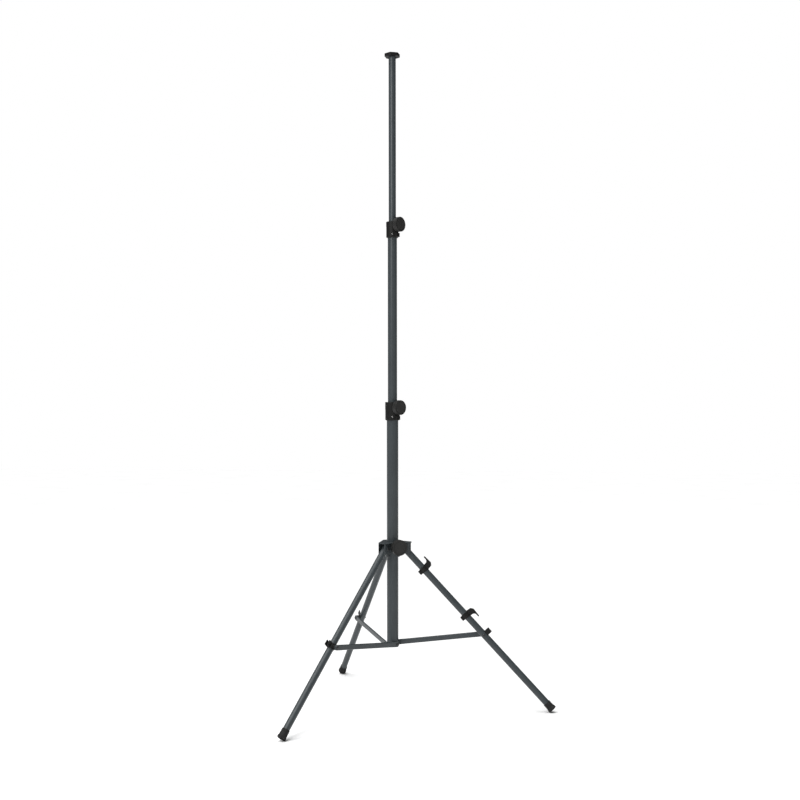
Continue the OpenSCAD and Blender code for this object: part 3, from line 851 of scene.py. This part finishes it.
def bolt(start, seat, r, head_r, head_h):
    """A bolt along Z: a shank of radius r and a button head on its seat."""
    return together(rod(r, start, seat, 0.4, 32), button_head(seat, head_r, head_h))


def lock_nut(start, r, height):
    """A hexagon lock nut along Z with its rounded ring at the far side."""
    flats = [(0, 0), (r - 0.5, 0), (r, 0.5), (r, height * 0.6)]
    flats += [(r - 0.5, height * 0.68), (0, height * 0.68)]
    ring = [(0, 0), (r * 0.82, 0), (r * 0.82, height * 0.8), (r * 0.7, height), (0, height)]
    return moved(combined([turned(flats, steps=6), turned(ring, steps=36)]), shift(z=start))


def pivot_hardware():
    """Bolts and nuts of the leg pivots, and bolts of the strut pivots."""
    bolts = []
    nuts = []
    strut_bolts = []
    half = ARM_W / 2
    for side in SIDES:
        leg = side_frame(f"leg_{side}_fold")
        bolts.append(moved(across(bolt(-half - 2, half, PIVOT_BOLT_R, 5, 2)), leg))
        nuts.append(moved(across(moved(lock_nut(half, 5, 2.4), turn(180, "X"))), leg))
        strut = side_frame(f"strut_{side}_swing")
        strut_bolts.append(moved(across(bolt(-13.5, 2.8, STRUT_BOLT_R, 5, 2.6)), strut))
    groups = [("leg_pivot_bolts", "hub", bolts), ("leg_pivot_nuts", "hub", nuts)]
    groups.append(("strut_pivot_bolts", "base", strut_bolts))
    for name, body, meshes in groups:
        piece(name, together(*meshes), Matrix.Identity(4), body, BLACK_STEEL, [name])


# ---------------------------------------------------------------------------
# Legs
# ---------------------------------------------------------------------------

LEG_R = 10
FOOT_R = 13
FOOT_LEN = 27
FOOT_BASE = 4
PIVOT_Z = JOINTS["leg_right_fold"]["pos_m"][2] / MM
LEG_LEN = (PIVOT_Z - FOOT_R * math.sin(LEG_ANGLE)) / math.cos(LEG_ANGLE)
SADDLE_LEN = 16
EAR_R = 7.5
EAR_END = 17.8
CLIP_GAP = 8.6
CLIP_WALL = 2.2
CLIP_REACH = LEG_R + 14
CLIP_LIP = 1.2
HOOK_W = 12
HOOKS = {"cable_hook_upper": (87, -1), "cable_hook_lower": (275, 1)}


def clamp_distance(side):
    """Distance along a leg from its pivot to its strut's outer bolt."""
    low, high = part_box(f"strut_bolt_{side}")
    joint = JOINTS[f"leg_{side}_fold"]
    outward, _ = side_axes(joint)
    down = outward * math.sin(LEG_ANGLE) - Vector((0, 0, math.cos(LEG_ANGLE)))
    return ((low + high) / 2 - Vector(joint["pos_m"])).dot(down) / MM


def foot(side):
    """A rubber foot: ringed sleeve, flared sole and a grooved tread."""
    top = LEG_LEN - FOOT_LEN
    bore = LEG_R + SEAM
    profile = [(0, LEG_LEN - FOOT_BASE), (bore, LEG_LEN - FOOT_BASE), (bore, top)]
    profile += [(10.9, top), (11.4, top + 0.5)]
    for groove in (4.2, 7.2, 10.2):
        at = top + groove
        profile += [(11.5, at), (11.05, at + 0.35), (11.05, at + 0.85), (11.5, at + 1.2)]
    profile += [(11.8, LEG_LEN - 10), (12.1, LEG_LEN - 8), (12.7, LEG_LEN - 6.4), (13, LEG_LEN - 5.4)]
    profile += arc(FOOT_R - 0.9, LEG_LEN - 0.9, 0.9, 0, 90, 4)
    for r in (10.2, 7.2, 4.2):
        profile += [(r, LEG_LEN), (r - 0.4, LEG_LEN - 0.8), (r - 1.4, LEG_LEN - 0.8), (r - 1.8, LEG_LEN)]
    profile += [(0, LEG_LEN)]
    name = f"foot_{side}"
    piece(name, turned(profile), leg_frame(side), f"leg_{side}", RUBBER, [name])


def strut_clamp(side):
    """The clamp on a leg: a saddle, the ear that carries the strut and an open cable clip."""
    saddle = combined(
        [rod(LEG_R + CLIP_WALL, -SADDLE_LEN / 2, SADDLE_LEN / 2, 0.6)],
        [block((-30, -30, -20), (30, -6, 20), 0), block((5, -30, -20), (30, 30, 20), 0)],
    )
    ear = across(rod(EAR_R, 0, EAR_END, 0.8, 48))
    inside = CLIP_REACH - LEG_R / 2
    low = CLIP_WALL
    high = CLIP_GAP + CLIP_WALL
    outline = [(0, 0), (inside, 0), (inside, high + CLIP_WALL), (0, high + CLIP_WALL)]
    outline += [(0, high - CLIP_LIP), (2, high), (10.4, high), (11, high - 0.6)]
    outline += [(11, low + 0.6), (10.4, low), (2, low), (0, low + CLIP_LIP)]
    clip = extruded(outline, SADDLE_LEN, 0.5)
    moved(clip, shift(-CLIP_REACH, -CLIP_GAP / 2 - CLIP_WALL, -SADDLE_LEN / 2))
    bore = rod(LEG_R + SEAM, -20, 20)
    body = combined([saddle, ear, clip], [bore, across(rod(3.05, -30, 30, steps=32))])
    moved(body, shift(z=clamp_distance(side)))
    name = f"strut_clamp_{side}"
    piece(name, body, leg_frame(side), f"leg_{side}", BLACK, [name])


def clamp_bolts(side):
    """The threaded bush through the leg and the bolt that holds the strut's outer end."""
    head = across(moved(button_head(LEG_R + 0.2, 4.2, 1.8), turn(180, "X")))
    barrel = across(rod(3, -LEG_R - 0.2, EAR_END, steps=32))
    bush = moved(together(head, barrel), shift(z=clamp_distance(side)))
    name = f"clamp_nut_{side}"
    piece(name, bush, leg_frame(side), f"leg_{side}", BLACK_STEEL, [name])
    name = f"strut_bolt_{side}"
    outer = moved(across(bolt(-2.5, 2.5, STRUT_BOLT_R, 5, 2.6)), shift(x=strut_length(side)))
    piece(name, outer, strut_frame(side), f"strut_arm_{side}", BLACK_STEEL, [name])


def cable_hook(name):
    """A cable hook clipped round the right leg, with its split tab on the leg's inner side."""
    along, away = HOOKS[name]
    outline = [(9.4, LEG_R), (8.4, 13), (7.4, 21.6)]
    outline += arc(2.7, 21.2, 4.8, 10, 50, 4) + arc(-1.8, 26.7, 3, 50, 90, 3)
    outline += arc(-26.6, 26.8, 1.4, 90, 250, 5) + [(-19.5, 25.7)]
    outline += arc(-19.5, 16.4, 9.2, 80, 0, 8) + [(-9.8, LEG_R)]
    hook = extruded([(-v, -away * u) for u, v in outline], HOOK_W, 0.7, 2)
    moved(hook, turn(90, "X"), shift(y=HOOK_W / 2))
    ring = rod(LEG_R + 2, -8, 8, 0.6)
    tab = block((0, -HOOK_W / 2, -7), (LEG_R + 8, HOOK_W / 2, 7), 0.9)
    split = block((LEG_R - 2, -0.6, -20), (LEG_R + 20, 0.6, 20), 0)
    body = combined([ring, hook, tab], [rod(LEG_R + SEAM, -40, 40), split])
    moved(body, shift(z=along))
    piece(name, body, leg_frame("right"), "leg_right", BLACK, [name])


# ---------------------------------------------------------------------------
# Struts
# ---------------------------------------------------------------------------

STRUT_H = 16
STRUT_T = 5
PRESSED = 22
PRESS_RUN = 12
PRESS_DEPTH = 0.6


def strut_length(side):
    """Distance between a strut's two bolts, in millimetres."""
    start = Vector(JOINTS[f"strut_{side}_swing"]["pos_m"])
    low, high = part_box(f"strut_bolt_{side}")
    _, sideways = side_axes(JOINTS[f"strut_{side}_swing"])
    along = (low + high) / 2 - start
    return (along - sideways * along.dot(sideways)).length / MM


def strut_ring(bm, x, half_h, low_y, high_y, corner):
    """One cross-section of a strut, a rounded rectangle in YZ."""
    outline = []
    corners = ((high_y, half_h, 0), (low_y, half_h, 90), (low_y, -half_h, 180), (high_y, -half_h, 270))
    for y, z, start in corners:
        cy = y - corner if y == high_y else y + corner
        cz = z - corner if z > 0 else z + corner
        outline += arc(cy, cz, corner, start, start + 90, 5)
    return [bm.verts.new((x, y, z)) for y, z in outline]


def strut(side):
    """A flat-oval tube whose ends are pressed flatter and rounded over."""
    length = strut_length(side)
    half, edge = STRUT_H / 2, STRUT_T / 2
    bm = bmesh.new()
    rings = []
    ends = [-half * math.cos(math.radians(a)) for a in (12, 30, 48, 66, 84)]
    stations = ends + [8] + [PRESSED + PRESS_RUN * i / 3 for i in range(4)]
    stations += [length - x for x in stations[::-1]]
    for x in stations:
        from_end = min(x, length - x)
        height = math.sqrt(half * half - from_end * from_end) if from_end < 0 else half
        press = 1 - min(max((from_end - PRESSED) / PRESS_RUN, 0), 1)
        press = press * press * (3 - 2 * press)
        corner = min(edge - 0.05 - 1.5 * press, height * 0.6)
        rings.append(strut_ring(bm, x, height, -edge + PRESS_DEPTH * press, edge, corner))
    bm.faces.new(rings[0])
    bm.faces.new(rings[-1][::-1])
    for left, right in zip(rings, rings[1:]):
        for i in range(len(left)):
            j = (i + 1) % len(left)
            bm.faces.new((left[i], left[j], right[j], right[i]))
    bmesh.ops.recalc_face_normals(bm, faces=bm.faces)
    name = f"strut_{side}"
    piece(name, bm, strut_frame(side), f"strut_arm_{side}", STRUT, [name])


# ---------------------------------------------------------------------------
# The whole stand
# ---------------------------------------------------------------------------

collar("lower", "base", BASE_R, MIDDLE_R)
collar("upper", "middle", MIDDLE_R, TOP_R)
clamp_knob("lower", BASE_R + COLLAR_WALL + SHELL_STEP + KNOB_GAP, **COLLAR_KNOB)
clamp_knob("upper", MIDDLE_R + COLLAR_WALL + SHELL_STEP + KNOB_GAP, **COLLAR_KNOB)
clamp_knob("hub", HUB_BOSS[0] + KNOB_GAP, **HUB_KNOB)
base_plug()
head_cap()
head_insert()
hub()
pivot_hardware()
for leg_side in SIDES:
    foot(leg_side)
    strut_clamp(leg_side)
    clamp_bolts(leg_side)
    strut(leg_side)
for hook_name in HOOKS:
    cable_hook(hook_name)
